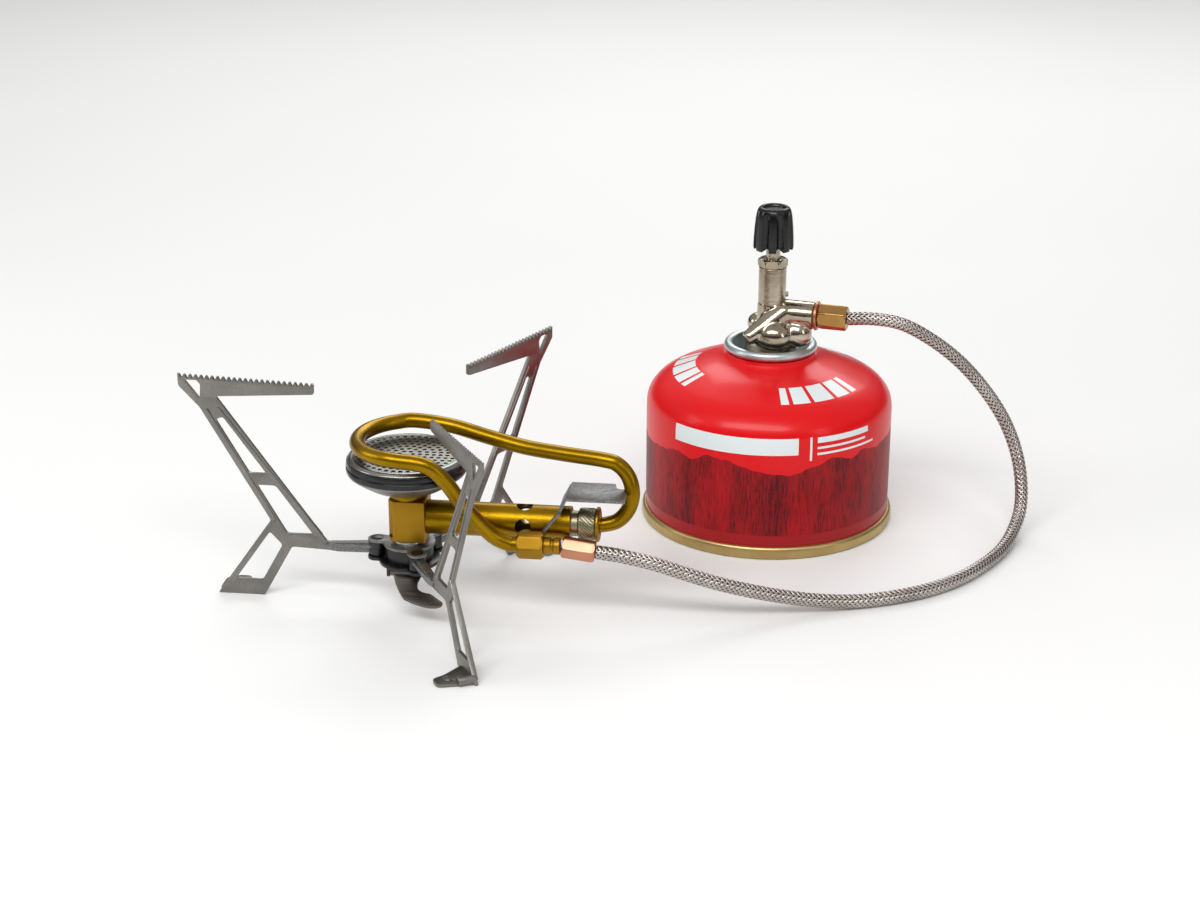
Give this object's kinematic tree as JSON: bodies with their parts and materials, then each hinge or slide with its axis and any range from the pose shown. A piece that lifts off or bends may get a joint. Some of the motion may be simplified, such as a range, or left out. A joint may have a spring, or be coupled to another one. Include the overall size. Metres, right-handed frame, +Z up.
{
  "type": "canister stove",
  "caption": "Low gas stove with folding truss legs, a preheat tube around the burner and a braided hose to a valve on a screw-on canister.",
  "frame": {"origin": "on the floor, below the middle of the object without its hose; the burner's axis is at x -41.2 mm, y -36.6 mm and the canister's at x 71.4 mm, y 57.5 mm", "axes": "+X along the mixing tube, away from the fixed leg; +Y to the side where the canister stands; +Z up"},
  "size_m": [0.2806, 0.2049, 0.114],
  "materials": {
    "leg_steel": "satin grey stainless sheet",
    "hub_steel": "speckled grey pressed sheet",
    "dark_steel": "dark heat-stained steel",
    "bright_steel": "bright turned steel",
    "lever_steel": "brownish grey spring steel",
    "gold_anodised": "gold anodised, satin",
    "knurled": "knurled, dull olive gold",
    "brass": "turned brass",
    "burner_steel": "polished stainless steel",
    "copper": "coppery, bright",
    "braid": "braided stainless wire",
    "nickel": "nickel-plated casting",
    "black_plastic": "black moulded plastic",
    "rubber": "black rubber",
    "white_plastic": "white moulded plastic",
    "red_paint": "glossy red lacquer, with a darker band",
    "pale_gold": "pale gold lacquered tinplate",
    "zinc": "bluish zinc-grey tinplate"
  },
  "bodies": {
    "stove": {"hub_plate": "hub_steel", "hub_cup": "dark_steel", "hub_washer": "bright_steel", "hub_bolt": "bright_steel", "leg_rivets": "bright_steel", "leg_left": "leg_steel", "lever_pin": "bright_steel", "elbow_block": "gold_anodised", "burner_neck": "gold_anodised", "burner_cup": "burner_steel", "burner_band": "dark_steel", "burner_gauze": "dark_steel", "flame_plate": "burner_steel", "mixing_tube": "gold_anodised", "jet_holder": "knurled", "jet": "brass", "jet_flange": "gold_anodised", "preheat_tube": "gold_anodised", "tube_bracket": "hub_steel", "tube_fitting": "gold_anodised", "fitting_neck": "gold_anodised", "burner_ferrule": "copper", "hose": "braid", "valve_ferrule": "brass", "outlet_washer": "copper", "valve_body": "nickel", "valve_tube": "nickel", "gland_nut": "bright_steel", "spindle_packing": "rubber", "valve_pin": "bright_steel", "valve_seal": "rubber"},
    "leg_back": {"leg_back": "leg_steel"},
    "leg_front": {"leg_front": "leg_steel"},
    "lever": {"lock_lever": "lever_steel"},
    "spindle": {"spindle": "bright_steel"},
    "knob": {"control_knob": "black_plastic"},
    "canister_core": {"stub_gasket": "rubber", "canister_stem": "white_plastic", "stem_spring": "bright_steel"},
    "canister": {"canister_shell": "red_paint", "canister_base": "pale_gold", "canister_collar": "zinc", "canister_stub": "bright_steel"}
  },
  "joints": [
    {"name": "leg_back_fold", "type": "hinge", "parent": "stove", "child": "leg_back", "pos_m": [-0.03475, -0.02762, 0.0194], "axis": [0, 0, 1], "range_deg": [0, 105]},
    {"name": "leg_front_fold", "type": "hinge", "parent": "stove", "child": "leg_front", "pos_m": [-0.03665, -0.04668, 0.0194], "axis": [0, 0, 1], "range_deg": [-105, 0]},
    {"name": "lever_lift", "type": "hinge", "parent": "stove", "child": "lever", "pos_m": [-0.0412, -0.0419, 0.0138], "axis": [1, 0, 0], "range_deg": [-20, 0], "stiffness_Nm_per_rad": 0.02},
    {"name": "knob_turn", "type": "hinge", "parent": "spindle", "child": "knob", "pos_m": [0.0714, 0.0575, 0.1], "axis": [0, 0, 1], "range_deg": [0, 560]},
    {"name": "spindle_lift", "type": "slide", "parent": "stove", "child": "spindle", "axis": [0, 0, 1], "range_m": [0, 0.00112]},
    {"name": "canister_turn", "type": "hinge", "parent": "canister_core", "child": "canister", "pos_m": [0.0714, 0.0575, 0.03], "axis": [0, 0, 1], "range_deg": [-1980, 0]},
    {"name": "canister_travel", "type": "slide", "parent": "stove", "child": "canister_core", "axis": [0, 0, 1], "range_m": [-0.0052, 0]}
  ],
  "couplings": [
    {"joint": "knob_turn", "follows": "spindle_lift", "rad_per_m": 8400},
    {"joint": "canister_travel", "follows": "canister_turn", "m_per_rad": 0.000144}
  ]
}
